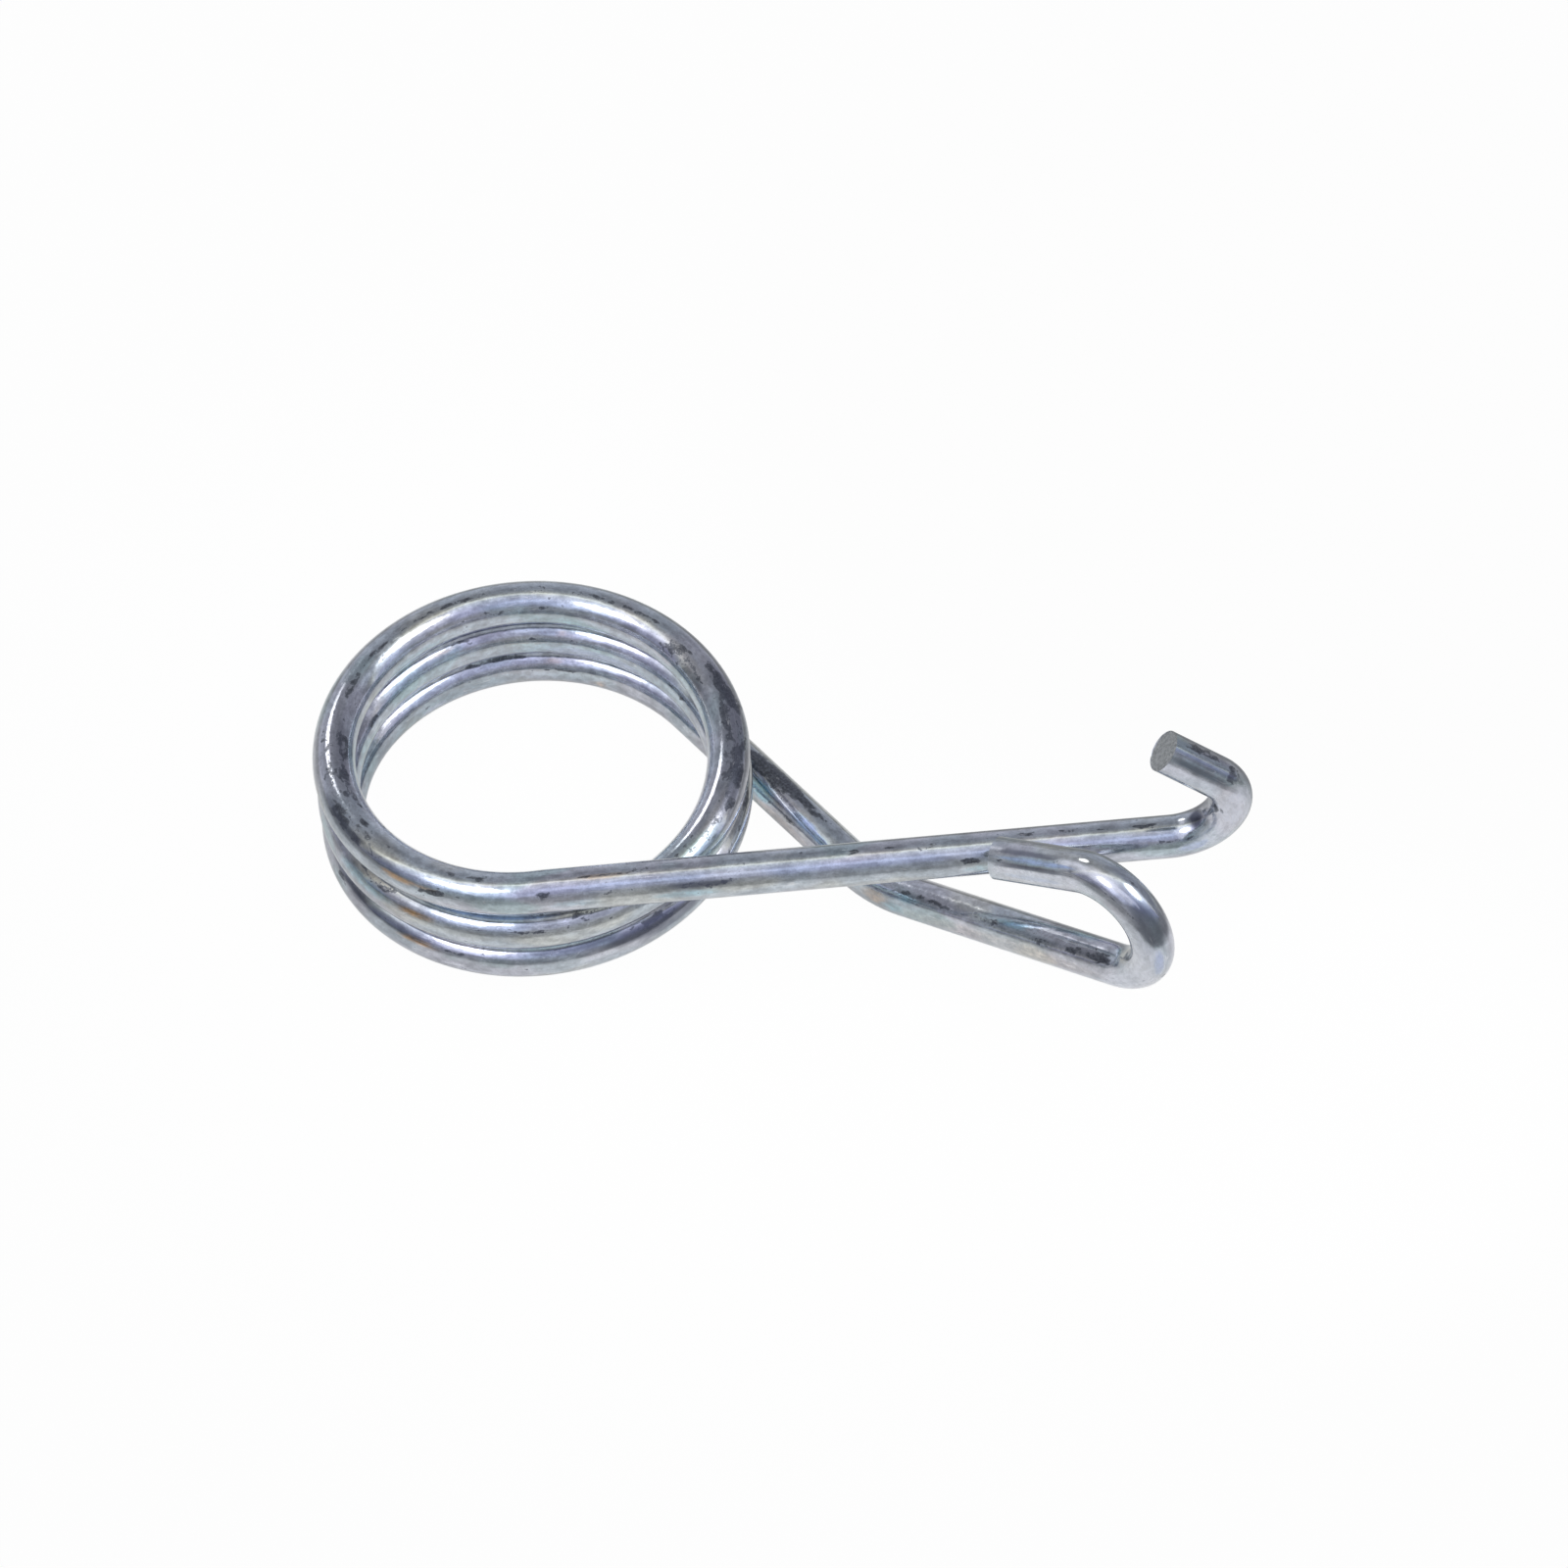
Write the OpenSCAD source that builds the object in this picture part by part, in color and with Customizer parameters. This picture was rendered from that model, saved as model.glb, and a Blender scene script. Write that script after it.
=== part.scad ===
// Retaining spring: one length of round wire, wound into a short close coil.
// The upper arm leaves the top turn along +X and ends in a hook that is bent up and back.
// The lower arm leaves the bottom turn, passes under the upper arm, rises and ends in a
// second hook, whose tail comes back until it is just short of the upper arm.
// All sizes are in millimetres and degrees. The spring lies on the plane z = 0 as it
// comes to rest there, and the axis of its coil crosses that plane at the origin.

/* [Wire] */
// Diameter of the wire
wire_d = 2.5; // [1.8:0.1:3.2]

/* [Coil] */
// Inside diameter of the coil, the bore that slips over a shaft
coil_bore = 20.3; // [16:0.1:26]
// Angle that the wire turns through in the coil
coil_turn = 955; // [930:1:980]
// Air between one turn and the next
turn_gap = 0.15; // [0.05:0.05:1]
// How much more the first turn stands off where it runs out to the upper arm
first_turn_gap = 0.55; // [0.1:0.05:2]

/* [Upper arm] */
// Set of the arm where it leaves the coil, up above zero and down below it
upper_set = -4.4; // [-8:0.1:0]
// Straight length of the arm, from the coil to its hook
upper_length = 35.6; // [28:0.1:50]
// Inside radius of the first half of the hook
upper_hook_in = 2.35; // [1.5:0.05:6]
// Inside radius of the second half of the hook, which is bent tighter
upper_hook_tip_in = 1.35; // [0.8:0.05:6]
// Angle that the hook turns through
upper_hook_turn = 137; // [90:1:180]
// Straight tail beyond the hook
upper_tail = 4.2; // [2.5:0.1:10]

/* [Lower arm] */
// Set of the arm where it leaves the coil, up above zero and down below it
lower_set = 1.1; // [0:0.1:3]
// Inside radius of the bend that raises the arm
lower_bend_in = 9.75; // [4:0.05:14]
// Angle of that bend
lower_bend = 23.5; // [15:0.5:30]
// How far that bend leans from straight up towards the left of the arm
lower_bend_side = 29; // [0:1:45]
// Air between the two arms where the rising arm passes under the upper one
crossing_gap = 2.75; // [1:0.05:4]
// Inside radius of the first half of the hook
lower_hook_in = 2.75; // [2.2:0.05:6]
// Inside radius of the second half of the hook, which is bent tighter
lower_hook_tip_in = 2.05; // [1.7:0.05:6]
// Angle that the hook turns through
lower_hook_turn = 190; // [150:1:200]
// Straight tail beyond the hook
lower_tail = 7; // [3:0.1:12]
// How far short of the upper arm the tip of that tail ends, from middle to middle in plan
tip_short = 2.35; // [1.5:0.05:8]

/* [Cut ends] */
// Slant of the sheared face at the end of the upper tail
upper_cut = 7; // [0:1:30]
// Side of that tail left short by the cut: 0 is outside the hook, 90 is left of the arm
upper_cut_side = 132; // [-180:1:180]
// Slant of the sheared face at the end of the lower tail
lower_cut = 22; // [0:1:30]
// Side of that tail left short by the cut, counted in the same way
lower_cut_side = -44; // [-180:1:180]
// Edge that shearing draws off round each cut face
cut_edge = 0.2; // [0.05:0.05:0.4]

/* [Hidden] */

up = [0, 0, 1];
wire_r = wire_d / 2;
coil_r = coil_bore / 2 + wire_r;
pitch = wire_d + turn_gap;
// Length of wire over which each arm takes its set where it leaves the coil
set_length = 0.12 * wire_d;
// The wire runs clockwise round the coil from here, so the upper arm points along +X
start_angle = -90;

// Facets round the wire, and the turn between one ring of facets and the next
sides = 24;
coil_step = 5;
bend_step = 8;

// A station is a place along the middle of the wire and the direction of travel there
function unit(v) = v / norm(v);
function last(list) = list[len(list) - 1];
function reversed(stations) = [for (i = [len(stations) - 1:-1:0]) [stations[i][0], -stations[i][1]]];

// Direction square to travel t, turned from straight up towards the left of travel
function bend_towards(t, side) =
    let (u = unit(up - t * t.z))
    u * cos(side) + cross(u, t) * sin(side);

function straight(s, length) = [[s[0] + s[1] * length, s[1]]];

// Bend from station s about a centre that lies at radius r in the direction b
function bend(s, b, r, angle) =
    let (steps = max(2, ceil(abs(angle) / bend_step)), centre = s[0] + b * r)
    [for (i = [1:steps])
        let (q = angle * i / steps)
        [centre + r * (s[1] * sin(q) - b * cos(q)), s[1] * cos(q) + b * sin(q)]];

// Set of an arm where it leaves the coil, up or down
function set_bend(s, angle) = angle == 0 ? straight(s, set_length)
    : bend(s, bend_towards(s[1], 0) * sign(angle), set_length * 180 / PI / abs(angle), abs(angle));

// Hook that curls straight up, with its own inside radius in each half
function hook(s, first_in, second_in, turn) =
    let (b = bend_towards(s[1], 0),
         first = bend(s, b, first_in + wire_r, turn / 2),
         half_b = b * cos(turn / 2) - s[1] * sin(turn / 2))
    concat(first, bend(last(first), half_b, second_in + wire_r, turn / 2));

// Tail of a hook, with one more station where the edge of the cut begins
function tail(s, length) =
    let (edge = straight(s, length - cut_edge))
    concat(edge, straight(last(edge), cut_edge));

// Coil, from its top turn down
function coil_station(t) =
    let (a = start_angle - t, open = max(0, 1 - t / 360))
    [[coil_r * cos(a), coil_r * sin(a), first_turn_gap * open * open - pitch * t / 360],
     unit([coil_r * sin(a) * PI / 180, -coil_r * cos(a) * PI / 180,
           -(pitch + 2 * first_turn_gap * open) / 360])];

coil = let (steps = ceil(coil_turn / coil_step))
    [for (i = [0:steps]) coil_station(coil_turn * i / steps)];

// Upper arm, from the coil outwards
upper_set_bend = set_bend([coil[0][0], -coil[0][1]], upper_set);
upper_straight = straight(last(upper_set_bend), upper_length);
upper_hook = hook(last(upper_straight), upper_hook_in, upper_hook_tip_in, upper_hook_turn);
upper_arm = concat(upper_set_bend, upper_straight, upper_hook, tail(last(upper_hook), upper_tail));

// Lower arm, from the coil outwards. The straight before its bend is as long as it takes to
// pass under the upper arm with the given air between them, and the hook lies as far beyond
// that crossing as it takes for the tip of its tail to end short of the upper arm.
lower_set_bend = set_bend(last(coil), lower_set);
lower_dir = last(lower_set_bend)[1];
lower_bend_dir = bend_towards(lower_dir, lower_bend_side);
function raise(s) = bend(s, lower_bend_dir, lower_bend_in + wire_r, lower_bend);
raised = last(raise([[0, 0, 0], lower_dir]));
upper_dir = upper_straight[0][1];
to_crossing = last(upper_set_bend)[0] - last(lower_set_bend)[0] - raised[0] - up * (wire_d + crossing_gap);
across = cross(raised[1], upper_dir);
lower_run = to_crossing * across / (lower_dir * across);
along = cross(lower_dir, upper_dir);
crossing_run = to_crossing * along / (raised[1] * along);
function curl(s) = hook(s, lower_hook_in, lower_hook_tip_in, lower_hook_turn);
curled = straight(last(curl([[0, 0, 0], raised[1]])), lower_tail)[0];
beside = unit(cross(up, upper_dir));
lower_reach = -(tip_short + beside * curled[0]) / (beside * raised[1]);
lower_straight = straight(last(lower_set_bend), lower_run);
lower_raise = raise(lower_straight[0]);
lower_rising = straight(last(lower_raise), crossing_run + lower_reach);
lower_hook = curl(lower_rising[0]);
lower_arm = concat(lower_set_bend, lower_straight, lower_raise, lower_rising, lower_hook,
                   tail(last(lower_hook), lower_tail));

wire = concat(reversed(upper_arm), coil, lower_arm);

// Side of a tail t that is left short, where arm is the direction of the arm before its hook
function short_side(t, arm, angle) =
    let (left = unit(cross(up, arm)))
    cross(left, t) * cos(angle) + left * sin(angle);

upper_short = short_side(last(upper_arm)[1], upper_dir, upper_cut_side) * tan(upper_cut);
lower_short = short_side(last(lower_arm)[1], lower_rising[0][1], lower_cut_side) * tan(lower_cut);

// One direction square to the wire at each station, carried along without twist
first_normal = unit(cross(up, upper_dir));
normals = [for (i = 0, n = first_normal; i < len(wire); i = i + 1,
                n = i < len(wire) ? unit(n - wire[i][1] * (n * wire[i][1])) : n) n];

// Ring of points round station i: the two rings at each end lean with the cut,
// and the very last ring is smaller by the edge
function ring(i) =
    let (end = min(i, len(wire) - 1 - i),
         r = end == 0 ? wire_r - cut_edge : wire_r,
         t = wire[i][1],
         side = cross(t, normals[i]),
         lean = end > 1 ? [0, 0, 0] : i > 1 ? -lower_short : upper_short)
    [for (k = [0:sides - 1])
        let (a = 360 * k / sides, out = r * (normals[i] * cos(a) + side * sin(a)))
        wire[i][0] + out + t * (out * lean)];

skin = [for (i = [0:len(wire) - 1]) each ring(i)];

faces = concat(
    [[for (k = [0:sides - 1]) k]],
    [for (i = [1:len(wire) - 1], k = [0:sides - 1])
        let (a = i * sides + k, b = i * sides + (k + 1) % sides)
        each [[a - sides, a, b], [a - sides, b, b - sides]]],
    [[for (k = [sides - 1:-1:0]) (len(wire) - 1) * sides + k]]);

// How high the centre of mass stands over a floor whose upward direction is n
places = [for (s = wire) s[0]];
middles = [for (i = [1:len(places) - 1]) (places[i] + places[i - 1]) / 2];
lengths = [for (i = [1:len(places) - 1]) norm(places[i] - places[i - 1])];
mass_centre = lengths * middles / (lengths * [for (l = lengths) 1]);
function mass_height(n) = n * mass_centre - min([for (p = places) n * p]);

// The spring settles where that height is least: look round for a lower one, then closer
function settle(n, step) =
    let (tries = [for (a = [0:2:358]) unit(n + step * [cos(a), sin(a), 0])],
         heights = [for (t = tries) mass_height(t)],
         low = min(heights))
    step < 0.0002 ? n
    : low < mass_height(n) ? settle(tries[search(low, heights)[0]], step)
    : settle(n, step / 2);

floor_up = settle(up, 0.04);
floor_level = min([for (p = skin) floor_up * p]);
// Along the axis of the coil, from its own zero to the floor
axis_to_floor = up * floor_level / floor_up.z;

module spring() {
    color([0.74, 0.77, 0.82])
    rotate(a = acos(floor_up.z), v = cross(floor_up, up))
    translate(-axis_to_floor)
    polyhedron(points = skin, faces = faces, convexity = 12);
}

spring();
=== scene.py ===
from math import cos, pi, radians, sin, tan

import bpy
from mathutils import Matrix, Vector


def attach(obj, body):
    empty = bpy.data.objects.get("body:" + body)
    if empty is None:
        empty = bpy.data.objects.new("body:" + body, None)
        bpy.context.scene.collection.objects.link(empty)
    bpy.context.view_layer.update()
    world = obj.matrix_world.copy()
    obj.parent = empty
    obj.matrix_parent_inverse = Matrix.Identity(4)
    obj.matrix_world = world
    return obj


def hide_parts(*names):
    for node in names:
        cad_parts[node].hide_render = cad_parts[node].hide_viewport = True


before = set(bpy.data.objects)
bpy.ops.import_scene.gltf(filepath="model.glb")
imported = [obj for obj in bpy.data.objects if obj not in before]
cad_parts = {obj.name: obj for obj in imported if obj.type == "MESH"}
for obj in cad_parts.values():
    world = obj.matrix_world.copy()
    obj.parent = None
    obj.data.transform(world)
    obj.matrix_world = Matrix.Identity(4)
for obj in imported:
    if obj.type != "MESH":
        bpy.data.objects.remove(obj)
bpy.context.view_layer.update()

# Sizes of the bent wire, in metres and degrees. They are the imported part's, except that the edge
# round each cut is smaller, and that the radius of the wire is 0.01 mm less, which is about where
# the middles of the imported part's flat facets lie
MM = 0.001
WIRE_R = 1.24 * MM
COIL_R = 11.4 * MM
PITCH = 2.65 * MM
FIRST_TURN_GAP = 0.55 * MM
COIL_TURN = 955.0
SET_LENGTH = 0.3 * MM
UPPER_SET = 4.4
UPPER_LENGTH = 35.6 * MM
UPPER_HOOK_R = 3.6 * MM
UPPER_HOOK_TIP_R = 2.6 * MM
UPPER_HOOK_TURN = 137.0
UPPER_TAIL = 4.2 * MM
UPPER_CUT = 7.0
UPPER_CUT_SIDE = 132.0
LOWER_SET = 1.1
LOWER_RUN = 14.3991 * MM
LOWER_BEND_R = 11.0 * MM
LOWER_BEND = 23.5
LOWER_BEND_SIDE = 29.0
RISING_RUN = 16.5104 * MM
LOWER_HOOK_R = 4.0 * MM
LOWER_HOOK_TIP_R = 3.3 * MM
LOWER_HOOK_TURN = 190.0
LOWER_TAIL = 7.0 * MM
LOWER_CUT = 22.0
LOWER_CUT_SIDE = -44.0
ROLLED_EDGE = 0.12 * MM
# The last stretch of each tail is made in one step, with wire to spare that the shears cut off
LAST_STRETCH = 0.9 * MM
SPARE = 0.8 * MM
# How the spring rests on the floor, leaning a little: which way is up for its own coil, and how
# far below the coil's own zero the floor lies, along the axis of the coil
FLOOR_UP = Vector((0.053027, 0.0397178, 0.997803))
AXIS_TO_FLOOR = 7.82114 * MM

# Fineness of the mesh
SIDES = 48
RING_STEP = 0.5 * MM
BEND_STEP = 4.0
COIL_STEP = 2.5

UP = Vector((0, 0, 1))


def coil_height(angle):
    opening = max(0.0, 1 - angle / 360)
    return FIRST_TURN_GAP * opening * opening - PITCH * angle / 360


def coil_station(angle):
    a = radians(-90 - angle)
    opening = max(0.0, 1 - angle / 360)
    fall = -(PITCH + 2 * FIRST_TURN_GAP * opening) / 360
    travel = Vector((COIL_R * sin(a) * pi / 180, -COIL_R * cos(a) * pi / 180, fall))
    return Vector((COIL_R * cos(a), COIL_R * sin(a), coil_height(angle))), travel.normalized()


def bend_towards(travel, side):
    square_up = (UP - travel * travel.z).normalized()
    return square_up * cos(radians(side)) + square_up.cross(travel) * sin(radians(side))


class WireEnd:
    """The end of the wire being worked: its place, its travel and the length so far."""

    def __init__(self, place, travel):
        self.place = place
        self.travel = travel
        self.lengths = [0.0]

    def grow(self, length, steps):
        for _ in range(steps):
            self.lengths.append(self.lengths[-1] + length / steps)

    def straight(self, length, steps=None):
        steps = steps or max(1, round(length / RING_STEP))
        for _ in range(steps):
            bpy.ops.mesh.extrude_region_move(
                TRANSFORM_OT_translate={"value": self.travel * (length / steps)})
        self.place = self.place + self.travel * length
        self.grow(length, steps)

    def bend(self, towards, radius, angle):
        steps = max(2, round(angle / BEND_STEP), round(radius * radians(angle) / RING_STEP))
        centre = self.place + towards * radius
        axis = self.travel.cross(towards)
        bpy.ops.mesh.spin(steps=steps, angle=-radians(angle), center=centre, axis=axis)
        turn = Matrix.Rotation(radians(angle), 3, axis)
        self.place = centre + turn @ (self.place - centre)
        self.travel = turn @ self.travel
        self.grow(radius * radians(angle), steps)
        return turn @ towards

    def hook(self, first_r, tip_r, angle):
        towards = self.bend(bend_towards(self.travel, 0), first_r, angle / 2)
        self.bend(towards, tip_r, angle / 2)

    def coil(self):
        steps = round(COIL_TURN / COIL_STEP)
        step = COIL_TURN / steps
        for i in range(steps):
            bpy.ops.mesh.spin(steps=1, angle=radians(step), center=(0, 0, 0), axis=(0, 0, 1))
            drop = coil_height((i + 1) * step) - coil_height(i * step)
            bpy.ops.transform.translate(value=(0, 0, drop))
        self.place, self.travel = coil_station(COIL_TURN)
        self.grow(COIL_R * radians(COIL_TURN), steps)


def select_rings(first, end):
    """Select the rings from the first one up to the one before the end."""
    for v in mesh.vertices:
        v.select = first * SIDES <= v.index < end * SIDES
    for e in mesh.edges:
        e.select = all(mesh.vertices[i].select for i in e.vertices)
    for f in mesh.polygons:
        f.select = all(mesh.vertices[i].select for i in f.vertices)


bpy.ops.object.select_all(action="DESELECT")
start, travel = coil_station(0)
facing = (-travel).to_track_quat("Z", "Y").to_euler()
bpy.ops.mesh.primitive_circle_add(vertices=SIDES, radius=WIRE_R, fill_type="NOTHING",
                                  location=start, rotation=facing)
spring = bpy.context.object
spring.name = "bent_wire"
bpy.ops.object.transform_apply(location=True, rotation=True, scale=True)
mesh = spring.data

# Upper arm, hook and tail, from the top turn of the coil outwards
bpy.ops.object.mode_set(mode="EDIT")
bpy.ops.mesh.select_all(action="SELECT")
upper = WireEnd(start, -travel)
upper.bend(-bend_towards(upper.travel, 0), SET_LENGTH / radians(UPPER_SET), UPPER_SET)
upper.straight(UPPER_LENGTH)
upper_arm = upper.travel
upper.hook(UPPER_HOOK_R, UPPER_HOOK_TIP_R, UPPER_HOOK_TURN)
upper.straight(UPPER_TAIL - LAST_STRETCH)
upper.straight(LAST_STRETCH + SPARE, 1)
bpy.ops.object.mode_set(mode="OBJECT")

# Back at the first ring: the coil, then the lower arm, hook and tail
select_rings(0, 1)
bpy.ops.object.mode_set(mode="EDIT")
lower = WireEnd(start, travel)
lower.coil()
lower.bend(bend_towards(lower.travel, 0), SET_LENGTH / radians(LOWER_SET), LOWER_SET)
lower.straight(LOWER_RUN)
lower.bend(bend_towards(lower.travel, LOWER_BEND_SIDE), LOWER_BEND_R, LOWER_BEND)
lower.straight(RISING_RUN)
lower_arm = lower.travel
lower.hook(LOWER_HOOK_R, LOWER_HOOK_TIP_R, LOWER_HOOK_TURN)
lower.straight(LOWER_TAIL - LAST_STRETCH)
lower.straight(LAST_STRETCH + SPARE, 1)
bpy.ops.object.mode_set(mode="OBJECT")

# The length along the wire, from the upper tip, and the place round it are kept on the mesh in
# millimetres, so that the finish can follow the wire. The place is on a circle of this radius
FINISH_R = 1.25
start_length = upper.lengths[-1]
ring_lengths = [start_length - run for run in upper.lengths]
ring_lengths += [start_length + run for run in lower.lengths[1:]]
along = mesh.attributes.new("along_wire", "FLOAT_VECTOR", "POINT")
for v in mesh.vertices:
    ring, corner = divmod(v.index, SIDES)
    angle = 2 * pi * corner / SIDES
    round_wire = (FINISH_R * cos(angle), FINISH_R * sin(angle))
    along.data[v.index].vector = (ring_lengths[ring] / MM, *round_wire)

# Marks of handling and plating, painted on the wire, and among them painted highlights, painted
# reflections and painted shade. Each stroke is a place along the wire in millimetres and round it
# in degrees, half its length in millimetres, half its width in degrees, and a strength
STAINS = [
    (12, 52, 1.6, 9, 0.6), (13.9, 1, 1, 9, 1), (16.1, 3, 0.5, 8, 0.9),
    (18.2, 355, 1.1, 8, 0.55), (20.6, 355, 0.6, 8, 0.55), (23.8, 56, 0.9, 10, 0.85),
    (24, 4, 0.4, 8, 0.6), (26, 2, 0.4, 8, 0.65), (28.2, 2, 0.5, 9, 0.8),
    (30.4, 2, 0.5, 9, 0.75), (33.4, 357, 0.45, 8, 0.65), (39.2, 54, 2.2, 11, 0.35),
    (42.5, 2, 0.7, 7, 0.5), (44.8, 8, 1.8, 7, 0.85), (48.2, 50, 0.4, 14, 0.8),
    (51.9, 2, 0.5, 9, 0.9), (53.7, 4, 0.9, 7, 0.6), (54.2, 65, 0.9, 9, 0.9),
    (57.9, 0, 0.5, 10, 1), (60.3, 356, 0.6, 9, 1), (59.9, 40, 0.5, 12, 0.85),
    (62, 35, 1.3, 18, 0.95), (61, 50, 2.4, 10, 0.65), (66.5, 325, 1.4, 22, 1),
    (64.6, 335, 1.2, 15, 0.8), (67.6, 340, 0.9, 15, 0.8), (62.5, 335, 1.1, 11, 0.6),
    (71.4, 350, 1.4, 10, 0.85), (74, 355, 1.8, 8, 0.6), (80, 355, 6, 8, 0.5),
    (90.5, 357, 3.8, 8, 0.55), (85.7, 305, 1.1, 12, 0.65), (82, 300, 2, 10, 0.45),
    (94.8, 315, 1.3, 14, 0.64), (96.3, 322, 0.9, 18, 0.56), (95.5, 345, 1.4, 13, 0.64),
    (97.2, 338, 1.1, 14, 0.56), (98.3, 15, 1.2, 24, 1), (99.6, 30, 1.3, 20, 0.9),
    (101.5, 0, 2.2, 17, 0.75), (101.5, 36, 2.8, 18, 0.6), (105, 45, 1, 14, 0.85),
    (106.5, 20, 1.6, 14, 0.6), (117.5, 30, 1.5, 20, 0.5), (122, 52, 2.4, 8, 0.65),
    (120.5, 2, 1.4, 9, 0.65), (130.5, 30, 2.1, 14, 0.65), (129.5, 45, 1.3, 8, 0.5),
    (153.2, 331, 2.4, 8, 0.85), (157.5, 300, 1.7, 9, 0.55), (144, 305, 2.6, 10, 0.45),
    (168, 300, 3, 10, 0.4), (176.8, 55, 1.9, 13, 0.85), (185.5, 50, 1.6, 24, 0.5),
    (186.5, 35, 2.2, 14, 0.4), (189.5, 29, 2.2, 10, 0.5), (196.8, 55, 1.1, 6, 0.65),
    (203, 45, 2.7, 11, 0.45), (205.5, 55, 1.1, 8, 0.7), (225.5, 333, 2.8, 8, 0.85),
    (224, 295, 1.3, 12, 0.5), (229.5, 293, 2.1, 8, 0.65), (214.5, 304, 2.4, 8, 0.45),
    (245, 5, 1.7, 28, 1), (247.6, 20, 1.3, 20, 0.85), (246.5, 350, 1.3, 15, 0.8),
    (249.5, 10, 1.9, 20, 0.5), (260, 325, 3.2, 10, 0.6), (265, 325, 1.6, 12, 0.5),
    (269.5, 315, 1.3, 13, 0.6), (272.8, 320, 2.1, 19, 0.72), (273.5, 336, 1.3, 13, 0.7),
    (283.4, 233, 1.6, 8, 0.75), (102, 20, 6.5, 42, 0.45), (66, 0, 5, 40, 0.4),
    (60.5, 22, 4, 40, 0.3), (110, 15, 3, 25, 0.4), (2.8, 182, 2.3, 18, 0.62),
    (5.1, 155, 0.6, 34, 0.55), (7, 40, 1.6, 12, 0.5), (245.8, 12, 3.2, 34, 0.95),
    (248.3, 15, 1.2, 14, 1), (248.2, 305, 1.8, 9, 0.7), (244.2, 0, 1, 22, 0.8),
    (66.6, 333, 1.1, 15, 1), (64.5, 334, 0.7, 8, 0.9), (61.8, 333, 2, 4, 0.8),
    (60.5, 308, 2.5, 12, 0.4), (71.5, 355, 1.2, 7, 0.8), (98.5, 12, 0.9, 16, 1),
    (97.8, 328, 0.5, 12, 0.8), (103, 28, 4, 30, 0.5), (95.2, 328, 1, 10, 0.64),
    (90.6, 0, 0.6, 8, 0.75), (79.5, 355, 5, 7, 0.6), (104.8, 20, 0.5, 20, 0.8),
    (106.8, 45, 0.7, 20, 0.6), (53, 57, 5, 4, 0.5), (277.7, 191, 0.22, 9, 0.9),
    (9.8, 12, 0.6, 24, 0.45),
]
# Pale above zero here: rubbed spots, painted highlights and painted reflections of the bright
# floor. Dark below zero: painted shade, painted dark reflection bands and a few smooth dark marks
WORN_AND_PAINTED_LIGHT = [
    (146.5, 247, 3.6, 18, 0.8), (161, 258, 4.5, 26, 0.78), (196.8, 90, 0.7, 8, 0.8),
    (189, 70, 0.8, 12, 0.5), (220.8, 260, 1.3, 15, 0.8), (247.9, 330, 0.7, 6, 0.9),
    (250, 333, 1, 8, 0.9), (261.8, 322, 0.8, 5, 0.7), (269.5, 354, 0.8, 8, 1),
    (53.8, 104, 1.4, 10, 0.7), (124.4, 88, 0.7, 7, 0.7), (278.9, 212, 1.3, 20, 0.95),
    (289.3, 200, 3.4, 9, -0.75), (289, 238, 3.6, 10, -0.85), (2.8, 124, 2.7, 13, -0.7),
    (3, 86, 2.4, 26, 0.28), (8, 60, 0.5, 5, 0.9), (7.8, 124, 0.4, 5, 0.8),
    (10.9, 80, 1.4, 18, 0.85), (284.6, 207, 2.6, 15, 0.95), (288, 218, 4.2, 9, 0.85),
    (287.5, 262, 4.6, 22, 0.8), (292.1, 195, 0.5, 6, 0.9), (250.2, 330, 0.8, 5, 1),
    (248, 331, 0.7, 4, 0.9), (250.5, 325, 2.6, 16, 0.3), (248.5, 275, 3.4, 18, 0.2),
    (6.9, 100, 1.9, 80, 0.9), (3.2, 150, 3.4, 14, -0.6), (208, 275, 20, 40, -0.22),
    (123, 12, 4, 12, 0.5), (195.5, 20, 3, 10, 0.35), (11.25, 2, 0.4, 14, 0.8),
    (11.5, 34, 0.5, 20, 0.7), (277.8, 255, 1.7, 34, 0.5), (102.5, 22, 6, 36, -0.35),
    (277.6, 255, 4.2, 60, 0.8), (289, 262, 4, 36, 0.7), (8, 80, 3.6, 50, 0.7),
    (200, 75, 13, 40, -0.15), (281.2, 206, 1.5, 38, -0.72), (281, 172, 0.9, 24, -0.6),
    (9.95, 8, 0.8, 30, -0.98), (60, 48, 4.6, 18, -0.5), (201.5, 46, 4.5, 13, -0.55),
    (184.5, 70, 2.6, 22, -0.7), (65, 342, 5, 18, -0.3), (1.2, 165, 0.45, 26, -0.7),
    (186, 54, 3, 24, -0.85), (203.4, 50, 2.6, 14, -0.7), (39.3, 55, 2.3, 12, -0.78),
    (196.8, 38, 1, 8, 0.8), (190, 35, 3.2, 12, -0.72),
]
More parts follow.
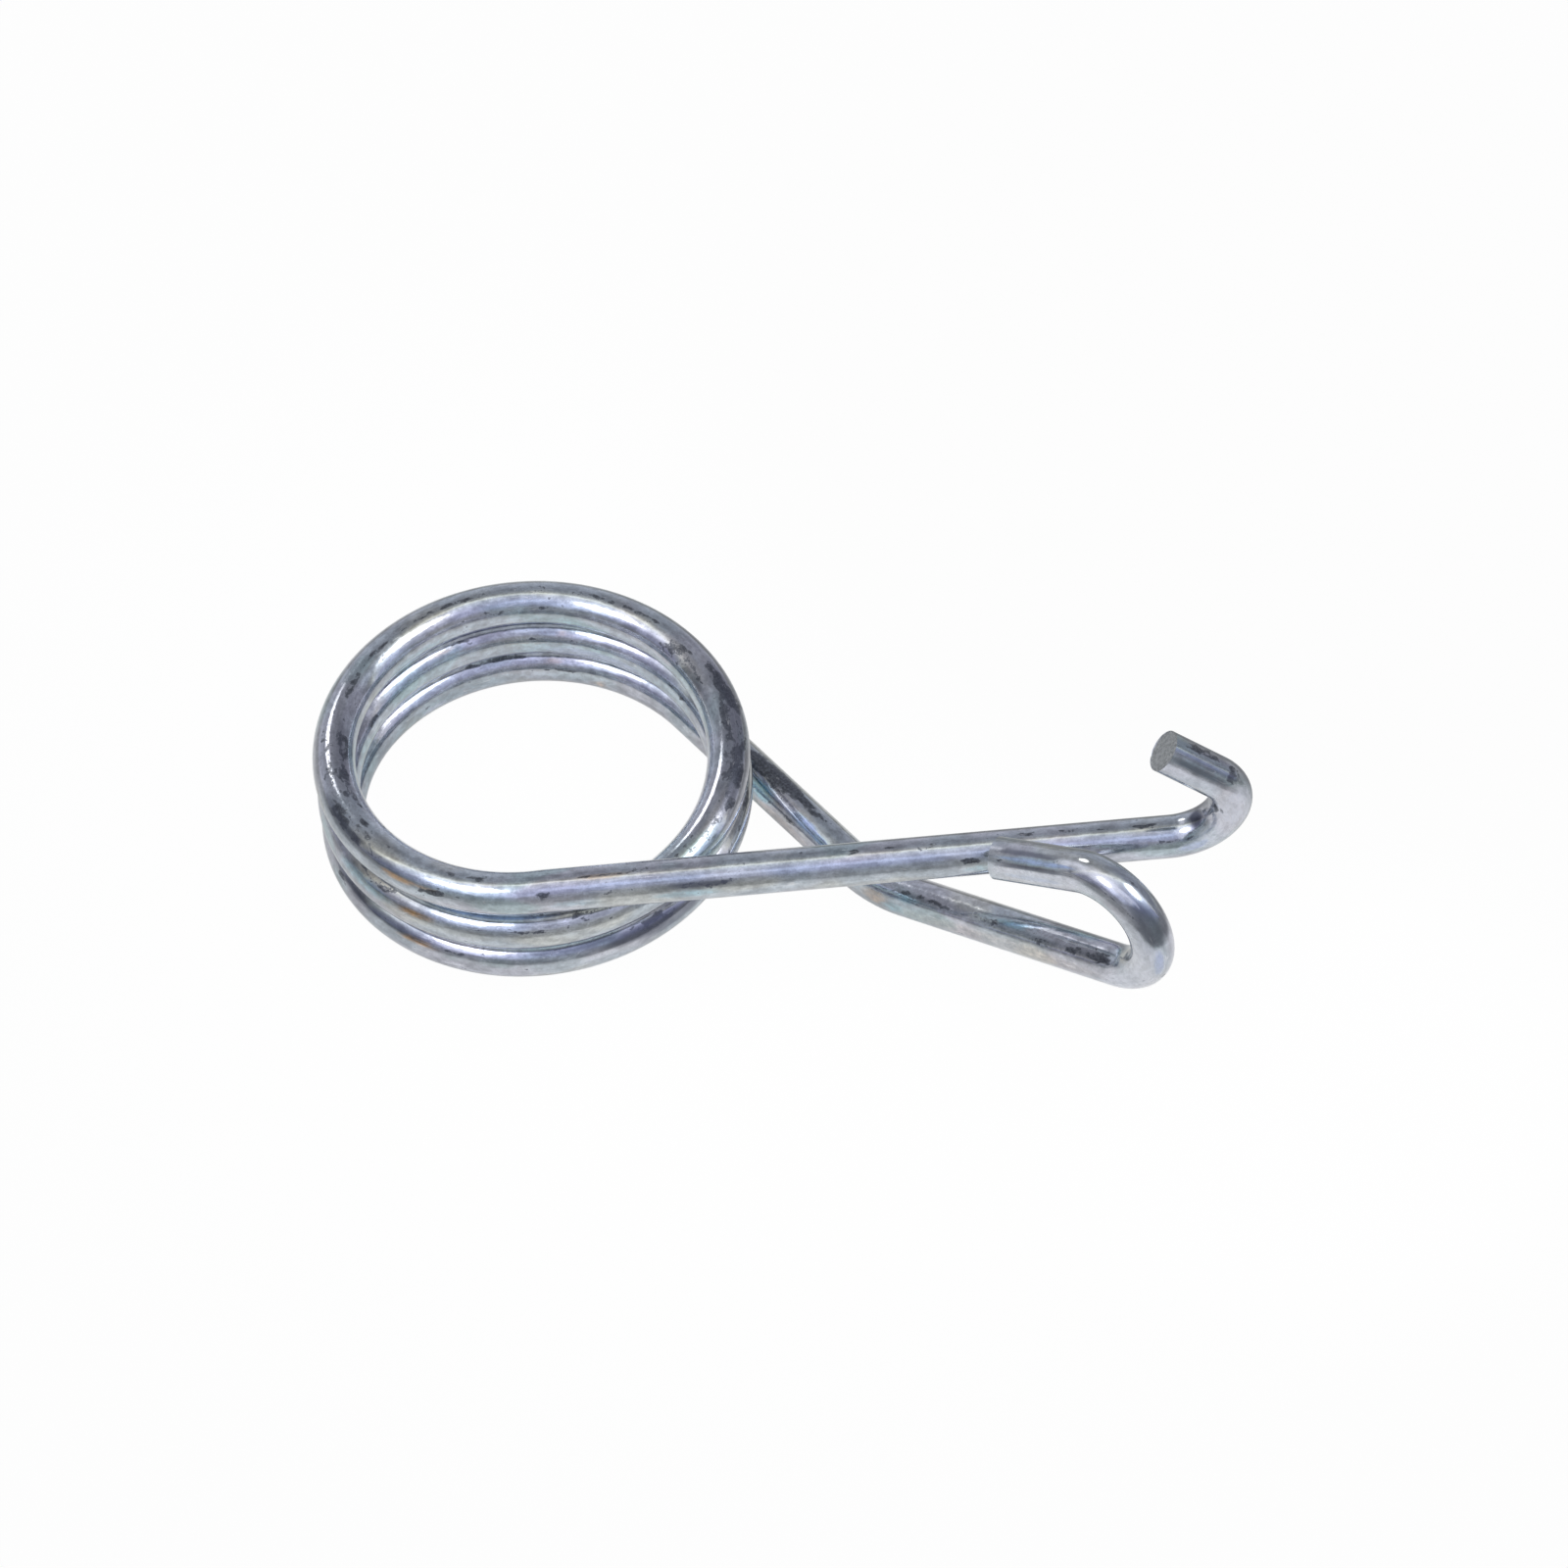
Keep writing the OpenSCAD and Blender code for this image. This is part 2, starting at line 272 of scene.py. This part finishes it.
# Straw is above zero here and blue-green below it; some of the blue-green strokes are painted
# blue reflections
TINTS_AND_PAINTED_REFLECTIONS = [
    (44.8, 10, 1.8, 7, 0.5), (56.4, 62, 1.4, 8, 0.9), (54.6, 62, 0.8, 6, 0.6),
    (127.3, 56, 1.3, 7, 1), (199, 57, 1.3, 7, 1), (150.5, 322, 0.9, 8, 0.5),
    (158.3, 318, 0.6, 7, 0.3), (232.3, 265, 0.6, 15, 0.4), (229, 318, 0.7, 8, 0.3),
    (256.3, 286, 1, 26, 0.4), (266, 270, 9, 28, 0.14), (98.5, 312, 3, 10, 0.12),
    (40, 82, 2.2, 12, -0.6), (23.4, 82, 0.8, 12, -0.5), (46.5, 82, 1.6, 12, -0.4),
    (246, 312, 1.3, 30, -1), (249.8, 330, 1.4, 14, -0.7), (258.8, 312, 1, 14, -0.8),
    (266.8, 336, 1.2, 13, -0.8), (257.6, 274, 0.7, 20, -0.6), (211, 260, 3, 30, -0.5),
    (243.8, 345, 1, 14, -0.9), (131, 60, 2.5, 20, -0.6), (139, 285, 3, 20, -0.4),
    (76.5, 262, 3, 18, -0.45), (88.5, 255, 2.5, 16, -0.5), (157, 282, 3, 10, -0.4),
    (160, 262, 7, 32, -0.4), (220, 258, 5, 24, -0.35), (288.6, 218, 3.6, 10, -0.9),
    (248.3, 276, 3, 16, 0.22), (7, 100, 2.2, 70, 0.16), (250.3, 322, 2.2, 16, -0.7),
    (2.8, 126, 2.6, 14, -0.5), (11, 80, 1.4, 18, -0.42), (150, 275, 28, 34, -0.22),
    (207, 275, 28, 34, -0.22), (84, 262, 14, 30, -0.22), (123, 12, 4, 12, -0.7),
    (147, 247, 3.6, 18, -0.6), (278.9, 212, 1.3, 20, -0.42), (289, 266, 3.4, 15, -0.35),
]
# How steeply a stroke comes to its full strength inside its rim
STROKE_RISE = 1.6


def brushed(strokes, length, angle):
    """Strength, above or below zero, of the strongest stroke at a place on the wire."""
    most = 0.0
    for place, side, half_length, half_width, strength in strokes:
        run = abs(length - place) / half_length
        if run < 1:
            across = abs((angle - side + 180) % 360 - 180) / half_width
            reach = 1 - run * run - across * across
            if reach > 0:
                most = max(most, strength * min(1.0, STROKE_RISE * reach), key=abs)
    return most


marks = mesh.attributes.new("marks", "FLOAT_VECTOR", "POINT")
for v in mesh.vertices:
    ring, corner = divmod(v.index, SIDES)
    place = (ring_lengths[ring] / MM, 360 * corner / SIDES)
    marks.data[v.index].vector = [brushed(strokes, *place) for strokes in (STAINS, WORN_AND_PAINTED_LIGHT, TINTS_AND_PAINTED_REFLECTIONS)]

# Steps from the rim of a cut to its middle, each with how far it goes inwards and how far it
# stands out, in millimetres: a rounded edge, a shallow groove inside it and a flat middle
EDGE_STEP = (0.01, 0.03)
FACE_STEPS = ((0.02, 0.02), (0.03, 0.01), (0.16, -0.03), (0.25, 0.02), (0.30, 0.01), (0.20, 0))


def inset(inward, outward):
    bpy.ops.mesh.inset(thickness=inward * MM, depth=outward * MM, use_even_offset=False)


def shear(end, last_ring, arm, slant, side):
    """Cut a tail through at a slant, and round the edge that the shears draw down."""
    left = UP.cross(arm).normalized()
    short_side = left.cross(end.travel) * cos(radians(side)) + left * sin(radians(side))
    cut = (end.travel + short_side * tan(radians(slant))).normalized()
    select_rings(last_ring - 1, last_ring + 1)
    bpy.ops.object.mode_set(mode="EDIT")
    bpy.ops.mesh.bisect(plane_co=end.place - end.travel * (SPARE + ROLLED_EDGE), plane_no=cut,
                        use_fill=True, clear_outer=True)
    bpy.ops.mesh.select_mode(type="FACE")
    inset(*EDGE_STEP)
    # What lies inside this first step has the finish of bare steel
    spring.active_material_index = 1
    bpy.ops.object.material_slot_assign()
    for step in FACE_STEPS:
        inset(*step)
    bpy.ops.mesh.select_mode(type="VERT")
    bpy.ops.object.mode_set(mode="OBJECT")


plated = bpy.data.materials.new("plated_wire")
sheared = bpy.data.materials.new("sheared_face")
mesh.materials.append(plated)
mesh.materials.append(sheared)

# The lower tip is cut first, because that leaves the numbers of the upper rings as they are
upper_rings = len(upper.lengths)
all_rings = len(ring_lengths)
shear(lower, all_rings - 1, lower_arm, LOWER_CUT, LOWER_CUT_SIDE)
shear(upper, upper_rings - 1, upper_arm, UPPER_CUT, UPPER_CUT_SIDE)

# Lean the whole spring to the way that it rests on the floor
bpy.ops.object.select_all(action="DESELECT")
spring.select_set(True)
bpy.context.view_layer.objects.active = spring
spring.location = (0, 0, AXIS_TO_FLOOR)
bpy.ops.object.transform_apply(location=True, rotation=True, scale=True)
spring.rotation_mode = "QUATERNION"
spring.rotation_quaternion = FLOOR_UP.rotation_difference(UP)
bpy.ops.object.transform_apply(location=True, rotation=True, scale=True)
spring.rotation_mode = "XYZ"
bpy.ops.object.mode_set(mode="EDIT")
bpy.ops.mesh.select_all(action="SELECT")
bpy.ops.mesh.remove_doubles(threshold=0.001 * MM)
bpy.ops.mesh.normals_make_consistent(inside=False)
bpy.ops.object.mode_set(mode="OBJECT")
bpy.ops.object.shade_smooth_by_angle(angle=radians(40))

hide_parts("spring")
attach(spring, "root")


class Tree:
    """A node tree, with short calls for the few kinds of node that are used here."""

    def __init__(self, tree):
        self.tree = tree

    def add(self, kind, inputs=(), **settings):
        node = self.tree.nodes.new("ShaderNode" + kind)
        for name, value in settings.items():
            setattr(node, name, value)
        for place, value in dict(inputs).items():
            self.feed(node.inputs[place], value)
        return node

    def feed(self, socket, value):
        if isinstance(value, bpy.types.NodeSocket):
            self.tree.links.new(value, socket)
        else:
            socket.default_value = value

    def math(self, operation, *values, clamp=False):
        node = self.add("Math", dict(enumerate(values)), operation=operation, use_clamp=clamp)
        return node.outputs[0]

    def above_zero(self, value):
        return self.math("MAXIMUM", value, 0.0)

    def below_zero(self, value):
        return self.above_zero(self.math("MULTIPLY", value, -1.0))

    def measure(self, operation, first, second):
        node = self.add("VectorMath", {0: first, 1: second}, operation=operation)
        return node.outputs["Value"]

    def stretch(self, place, lengthwise, crosswise=1.0):
        scale = (lengthwise, crosswise, crosswise)
        return self.add("VectorMath", {0: place, 1: scale}, operation="MULTIPLY").outputs[0]

    def noise(self, place, scale, detail=2.0, rough=0.5):
        return self.add("TexNoise", {"Vector": place, "Scale": scale, "Detail": detail,
                                     "Roughness": rough}).outputs["Fac"]

    def ease(self, value, low, high, least=0.0, most=1.0):
        node = self.add("MapRange", {0: value, 1: low, 2: high, 3: least, 4: most},
                        interpolation_type="SMOOTHSTEP")
        return node.outputs[0]

    def blend(self, share, first, second, kind="MIX"):
        node = self.add("Mix", {0: share, 6: first, 7: second}, data_type="RGBA", blend_type=kind)
        return node.outputs[2]


def group(name, inputs, outputs):
    """A node group with its sockets: vectors in, and values or colours out."""
    tree = bpy.data.node_groups.new(name, "ShaderNodeTree")
    for label, kind in inputs:
        tree.interface.new_socket(label, in_out="INPUT", socket_type="NodeSocket" + kind)
    for label, kind in outputs:
        tree.interface.new_socket(label, in_out="OUTPUT", socket_type="NodeSocket" + kind)
    t = Tree(tree)
    return t, tree.nodes.new("NodeGroupInput").outputs, tree.nodes.new("NodeGroupOutput").inputs


# Unevenness of drawn and plated wire, over a place given along and round the wire
t, given, made = group("drawn_wire_unevenness", [("Place", "Vector")],
                       [("Blotch", "Float"), ("Mottle", "Float"), ("Grain", "Float"),
                        ("Drawn", "Float"), ("Scratch", "Float")])
place = given["Place"]
t.feed(made["Blotch"], t.noise(t.stretch(place, 0.5), 0.95, 3, 0.6))
t.feed(made["Mottle"], t.noise(t.stretch(place, 0.6), 2.6, 3, 0.6))
t.feed(made["Grain"], t.noise(place, 7.0, 2, 0.6))
t.feed(made["Drawn"], t.noise(t.stretch(place, 0.06), 6.0, 2, 0.6))
fan = t.noise(t.stretch(place, 0.10), 3.6, 1, 0.5)
line = t.ease(t.math("ABSOLUTE", t.math("SUBTRACT", fan, 0.5)), 0.004, 0.014, 1.0, 0.0)
area = t.ease(t.noise(t.stretch(place, 0.5), 0.8, 2, 0.5), 0.54, 0.62)
t.feed(made["Scratch"], t.math("MULTIPLY", line, area))

# Colours of the plate, with what thin plate, rubbing, stains and scratches give it, and the painted
# highlights, painted reflections and painted shade laid on it
ZINC_BLUE = (0.62, 0.675, 0.73, 1)
ZINC_VIOLET = (0.665, 0.67, 0.735, 1)
ZINC_GREEN = (0.54, 0.68, 0.70, 1)
ZINC_WARM = (0.70, 0.69, 0.63, 1)
STRAW = (0.92, 0.58, 0.30, 1)
BLUE_GREEN = (0.40, 0.64, 0.74, 1)
# Pale colours for rubbed spots and for painted highlights and painted reflections, the blue one for
# painted blue reflections
RUBBED_OR_HIGHLIGHT = (0.90, 0.91, 0.94, 1)
RUBBED_OR_REFLECTED_BLUE = (0.52, 0.62, 0.90, 1)
STAIN_DEEP = (0.048, 0.054, 0.07, 1)
STAIN_THIN = (0.15, 0.163, 0.19, 1)
# Colour of painted shade and painted dark reflection bands, and of a few smooth dark marks
SMOOTH_DARK_AND_PAINTED_SHADE = (0.13, 0.14, 0.19, 1)
SCRATCHED = (0.93, 0.93, 0.95, 1)
# Shade that rubbing and painted highlights bring the plate towards, where 1 leaves its colour as it
# is
PALE_SHADE = 1.02

# Finish of the plating, with painted highlights, painted reflections and painted shade in its colour:
# its colour, how rough it is, where rubbing left a bloom or a highlight is painted pale, and its
# height
t, given, made = group("plating_finish_and_painted_light", [("Place", "Vector"), ("Marks", "Vector")],
                       [("Color", "Color"), ("Roughness", "Float"), ("Bloom_and_painted_highlight", "Float"),
                        ("Height", "Float")])
place = given["Place"]
# The second mark carries rubbing, painted highlights, painted reflections and painted shade
stained, worn_and_painted_light, tinted = t.add("SeparateXYZ", {0: given["Marks"]}).outputs
uneven = t.add("Group", node_tree=bpy.data.node_groups["drawn_wire_unevenness"])
t.feed(uneven.inputs["Place"], place)
u = uneven.outputs
drift = t.noise(t.stretch(place, 0.5), 0.35, 1)
turn_of_tint = t.noise(t.stretch(place, 0.4), 0.42, 1.5)
tint = t.blend(t.ease(drift, 0.42, 0.58), ZINC_BLUE, ZINC_VIOLET)
tint = t.blend(t.ease(turn_of_tint, 0.56, 0.68, 0.0, 0.7), tint, ZINC_GREEN)
tint = t.blend(t.ease(turn_of_tint, 0.44, 0.32, 0.0, 0.6), tint, ZINC_WARM)
# Blue-green here is partly the plate's tint and partly a painted blue reflection
uneven_tint = t.math("MULTIPLY", tinted, t.ease(u["Mottle"], 0.35, 0.6, 0.6, 1.0))
tint = t.blend(t.above_zero(uneven_tint), tint, STRAW)
tint = t.blend(t.below_zero(uneven_tint), tint, BLUE_GREEN)
# Pale where the plate is rubbed and where highlights and reflections of the bright floor are painted
pale = t.math("MULTIPLY", t.above_zero(worn_and_painted_light), t.ease(u["Mottle"], 0.3, 0.6, 0.7, 1.0))
tint = t.blend(pale, tint, t.blend(t.ease(tinted, -0.2, -0.6), RUBBED_OR_HIGHLIGHT, RUBBED_OR_REFLECTED_BLUE))
shade = t.ease(u["Mottle"], 0.32, 0.68, 0.80, 1.10)
for name, least, most in (("Blotch", 0.84, 1.10), ("Grain", 0.93, 1.05), ("Drawn", 0.96, 1.03)):
    shade = t.math("MULTIPLY", shade, t.ease(u[name], 0.35, 0.65, least, most))
missing_shade = t.math("SUBTRACT", PALE_SHADE, shade)
shade = t.math("MULTIPLY_ADD", missing_shade, t.math("MULTIPLY", pale, 0.65), shade)
grey = t.add("CombineColor", {0: shade, 1: shade, 2: shade}).outputs[0]
color = t.blend(1.0, tint, grey, "MULTIPLY")
ragged = t.math("MULTIPLY", stained, 1.15)
for name, weight in (("Blotch", 1.8), ("Mottle", 2.6), ("Grain", 1.0)):
    ragged = t.math("MULTIPLY_ADD", t.math("SUBTRACT", u[name], 0.5), weight, ragged)
stain = t.math("ADD", t.ease(ragged, 0.44, 1.0, 0.0, 0.5), t.ease(ragged, 0.58, 0.77, 0.0, 0.5))
dark = t.blend(t.ease(u["Grain"], 0.4, 0.65), STAIN_DEEP, STAIN_THIN)
color = t.blend(t.math("MULTIPLY", stain, 0.93), color, dark)
# Painted shade and painted dark reflection bands, with a few smooth dark marks, where the strokes go
# below zero
color = t.blend(t.below_zero(worn_and_painted_light), color, SMOOTH_DARK_AND_PAINTED_SHADE)
color = t.blend(t.math("MULTIPLY", u["Scratch"], 0.5), color, SCRATCHED)
t.feed(made["Color"], color)
rough = t.ease(u["Mottle"], 0.3, 0.7, 0.09, 0.19)
rough = t.math("ADD", rough, t.math("MULTIPLY", stain, 0.16))
rough = t.math("SUBTRACT", rough, t.math("MULTIPLY", pale, 0.04))
t.feed(made["Roughness"], rough)
# Where highlights are painted pale, less of the plate is metal, so that the pale colour shows
t.feed(made["Bloom_and_painted_highlight"], t.math("MULTIPLY", pale, 0.85))
height = t.noise(t.stretch(place, 0.7), 1.7, 2, 0.5)
for name, weight in (("Drawn", 0.10), ("Grain", 0.06), ("Scratch", -0.10)):
    height = t.math("MULTIPLY_ADD", u[name], weight, height)
t.feed(made["Height"], height)

# Plated wire
plated.use_nodes = True
t = Tree(plated.node_tree)
shader = plated.node_tree.nodes["Principled BSDF"]
finish = t.add("Group", node_tree=bpy.data.node_groups["plating_finish_and_painted_light"])
t.feed(finish.inputs["Place"], t.add("Attribute", attribute_name="along_wire").outputs["Vector"])
t.feed(finish.inputs["Marks"], t.add("Attribute", attribute_name="marks").outputs["Vector"])
bump = t.add("Bump", {"Strength": 1.0, "Distance": 0.011 * MM, "Height": finish.outputs["Height"]})
t.feed(shader.inputs["Base Color"], finish.outputs["Color"])
# Less metal where the plate is rubbed or a highlight is painted pale
t.feed(shader.inputs["Metallic"], t.math("SUBTRACT", 1.0, finish.outputs["Bloom_and_painted_highlight"]))
t.feed(shader.inputs["Coat Weight"], 0.8)
t.feed(shader.inputs["Coat Roughness"], 0.07)
t.feed(shader.inputs["Coat IOR"], 1.5)
t.feed(shader.inputs["Roughness"], finish.outputs["Roughness"])
t.feed(shader.inputs["Normal"], bump.outputs[0])

# Sheared face of the steel at both tips: dull, specked and drawn out in upright streaks
STEEL_DARK = (0.38, 0.39, 0.38, 1)
STEEL_LIGHT = (0.60, 0.61, 0.59, 1)
STEEL_STREAK = (0.70, 0.71, 0.70, 1)
STREAKS_PER_METRE = (9000, 9000, 1600)
SPECKS_PER_METRE = 5200.0
sheared.use_nodes = True
t = Tree(sheared.node_tree)
shader = sheared.node_tree.nodes["Principled BSDF"]
place = t.add("TexCoord").outputs["Object"]
upright = t.add("VectorMath", {0: place, 1: STREAKS_PER_METRE}, operation="MULTIPLY").outputs[0]
streak = t.noise(upright, 1.0, 3, 0.6)
speck = t.noise(place, SPECKS_PER_METRE, 2, 0.6)
steel = t.blend(t.ease(speck, 0.35, 0.65), STEEL_DARK, STEEL_LIGHT)
steel = t.blend(t.ease(streak, 0.5, 0.7, 0.0, 0.5), steel, STEEL_STREAK)
bump = t.add("Bump", {"Strength": 1.0, "Distance": 0.02 * MM, "Height": t.math("ADD", streak, speck)})
t.feed(shader.inputs["Base Color"], steel)
t.feed(shader.inputs["Metallic"], 0.85)
t.feed(shader.inputs["Roughness"], t.ease(speck, 0.3, 0.7, 0.42, 0.62))
t.feed(shader.inputs["Normal"], bump.outputs[0])

# Floor: white to the camera, but for a faint shadow of the spring. The wire mirrors the floor's
# matt colour, which is grey but for these patches of painted light and painted shade: a painted pool
# of warm white light round the spring, painted shade behind its hooks and a painted pool of light in
# front of them. Each has its middle, the distances at which it is gone and at which it is full, its
# strength and its colour
FLOOR_GREY = (0.28, 0.29, 0.28, 1)
FLOOR_LIGHT_PATCHES = (
    ((0.012, -0.003, 0), 0.058, 0.012, 1.0, (0.99, 0.98, 0.89, 1)),
    ((0.046, 0.028, 0), 0.048, 0.024, 0.9, (0.08, 0.09, 0.095, 1)),
    ((0.043, -0.024, 0), 0.022, 0.010, 0.9, (0.99, 0.98, 0.92, 1)),
)
WHITE_TO_CAMERA = 0.98
WHITE_IN_MIRROR = 0.18
bpy.ops.mesh.primitive_plane_add(size=8, location=(0, 0, 0))
floor = bpy.context.object
floor.name = "studio_floor"
white = bpy.data.materials.new("studio_floor")
white.use_nodes = True
white.node_tree.nodes.clear()
t = Tree(white.node_tree)
spot = t.add("TexCoord").outputs["Object"]
# The floor's matt colour, with the painted light and painted shade of the patches
floor_colour_and_painted_light = FLOOR_GREY
for middle, gone, full, strength, colour in FLOOR_LIGHT_PATCHES:
    away = t.measure("DISTANCE", spot, middle)
    floor_colour_and_painted_light = t.blend(t.ease(away, gone, full, 0.0, strength), floor_colour_and_painted_light, colour)
matt = t.add("BsdfDiffuse", {"Color": floor_colour_and_painted_light}).outputs[0]
glow = t.add("Emission", {"Color": (1, 1, 1, 1)}).outputs[0]
ray = t.add("LightPath").outputs
mirrored = t.math("ADD", ray["Is Glossy Ray"], ray["Is Transmission Ray"], clamp=True)
share = t.math("MULTIPLY_ADD", ray["Is Camera Ray"], WHITE_TO_CAMERA,
               t.math("MULTIPLY", mirrored, WHITE_IN_MIRROR))
mix = t.add("MixShader", {0: share, 1: matt, 2: glow}).outputs[0]
t.add("OutputMaterial", {"Surface": mix})
floor.data.materials.append(white)


def toward(azimuth, elevation):
    """Direction at so many degrees clockwise from straight behind the spring, and so many up."""
    az, el = radians(azimuth), radians(elevation)
    return sin(az) * cos(el), cos(az) * cos(el), sin(el)


LAMP_DISTANCE = 1.3
SPRING_MIDDLE = Vector((0.013, -0.006, 0.008))


def lamp(name, azimuth, elevation, half_angle, radiance):
    way = Vector(toward(azimuth, elevation))
    size = 2 * LAMP_DISTANCE * tan(radians(half_angle))
    bpy.ops.object.light_add(type="AREA", location=way * LAMP_DISTANCE + SPRING_MIDDLE,
                             rotation=way.to_track_quat("Z", "Y").to_euler())
    light = bpy.context.object
    light.name = name
    light.data.shape = "DISK"
    light.data.size = size
    light.data.energy = radiance * pi * pi * (size / 2) ** 2


lamp("front_left_lamp", -124, 52, 12.5, 2.1)
lamp("right_lamp", 102, 54, 14.5, 1.9)
lamp("back_left_lamp", -30, 38, 7.5, 2.4)

# World: a pale tent over the table, with a darker part of the room behind it to the right
world = bpy.data.worlds.new("light_tent")
bpy.context.scene.world = world
world.use_nodes = True
world.node_tree.nodes.clear()
t = Tree(world.node_tree)
way = t.add("TexCoord").outputs["Generated"]
parts = t.add("SeparateXYZ", {0: way}).outputs
turn = t.math("DIVIDE", t.math("ARCTAN2", parts[2], t.math("MULTIPLY", parts[1], -1.0)), pi)
# Light of the tent in red, green and blue, from low in front at 0, over the top at 0.5, to low
# behind at 1
TENT = [(0.0, 0.36, 0.37, 0.39), (0.083, 0.35, 0.37, 0.41), (0.144, 0.37, 0.39, 0.46),
        (0.20, 0.47, 0.50, 0.66), (0.26, 0.51, 0.54, 0.72), (0.34, 0.57, 0.59, 0.77),
        (0.42, 0.68, 0.70, 0.84), (0.50, 0.80, 0.82, 0.88), (0.53, 1.25, 1.25, 1.15),
        (0.553, 0.66, 0.66, 0.62), (0.58, 0.42, 0.42, 0.42), (0.66, 0.31, 0.33, 0.37),
        (0.74, 0.29, 0.30, 0.34), (0.80, 0.36, 0.38, 0.43), (0.88, 0.44, 0.46, 0.52),
        (1.0, 0.50, 0.52, 0.58)]
tent = t.add("ValToRGB", {0: turn})
ramp = tent.color_ramp
while len(ramp.elements) < len(TENT):
    ramp.elements.new(0.5)
for element, (position, red, green, blue) in zip(ramp.elements, TENT):
    element.position = position
    element.color = (red, green, blue, 1)
room = t.measure("DOT_PRODUCT", way, (0.742, 0.520, 0.423))
light = t.blend(t.ease(room, 0.80, 0.94, 0.0, 0.9), tent.outputs["Color"], (0.26, 0.27, 0.32, 1))

# Places where the cloth glows, round the lamps and in front. Each has its azimuth and elevation,
# the degrees from there at which it is full and at which it is gone, and the light that it adds
GLOWS = (
    (-122, 51, 12, 28, (0.29, 0.31, 0.37, 1)),
    (-137, 37, 3, 14, (0.36, 0.38, 0.44, 1)),
    (-152, 34, 3, 16, (0.18, 0.20, 0.26, 1)),
    (-176, 56, 3, 10, (0.25, 0.28, 0.37, 1)),
    (104, 50, 14, 30, (0.25, 0.27, 0.33, 1)),
    (-100, 68, 4, 22, (0.16, 0.16, 0.17, 1)),
)
for azimuth, elevation, full, gone, glow in GLOWS:
    near = t.measure("DOT_PRODUCT", way, toward(azimuth, elevation))
    light = t.blend(t.ease(near, cos(radians(gone)), cos(radians(full))), light, glow, "ADD")

# Low on the left the tent is dim, and to the camera all of it is white
left = t.measure("DOT_PRODUCT", way, toward(-95, 9))
light = t.blend(t.ease(left, 0.80, 0.96, 0.0, 0.5), light, (0.08, 0.09, 0.11, 1))
light = t.blend(t.add("LightPath").outputs["Is Camera Ray"], light, (1, 1, 1, 1))
sky = t.add("Background", {"Color": light}).outputs[0]
t.add("OutputWorld", {"Surface": sky})

# Camera, where and how it has to stand for the wire to fall on its outline in the photograph
CAMERA_PLACE = Vector((-10.712, -356.403, 419.950)) * MM
CAMERA_TURN = radians(-4.013)
CAMERA_TILT = radians(90 - 49.467)
CAMERA_ROLL = radians(-0.883)
bpy.ops.object.camera_add(location=CAMERA_PLACE)
camera = bpy.context.object
camera.name = "product_camera"
camera.data.sensor_width = 36
camera.data.lens = 216.36
camera.data.clip_start = 0.01
camera.data.clip_end = 50
look = Matrix.Rotation(CAMERA_TURN, 3, "Z") @ Matrix.Rotation(CAMERA_TILT, 3, "X")
look = look @ Matrix.Rotation(CAMERA_ROLL, 3, "Z")
camera.rotation_euler = look.to_euler()
bpy.context.scene.camera = camera

bpy.context.scene.view_settings.view_transform = "Standard"
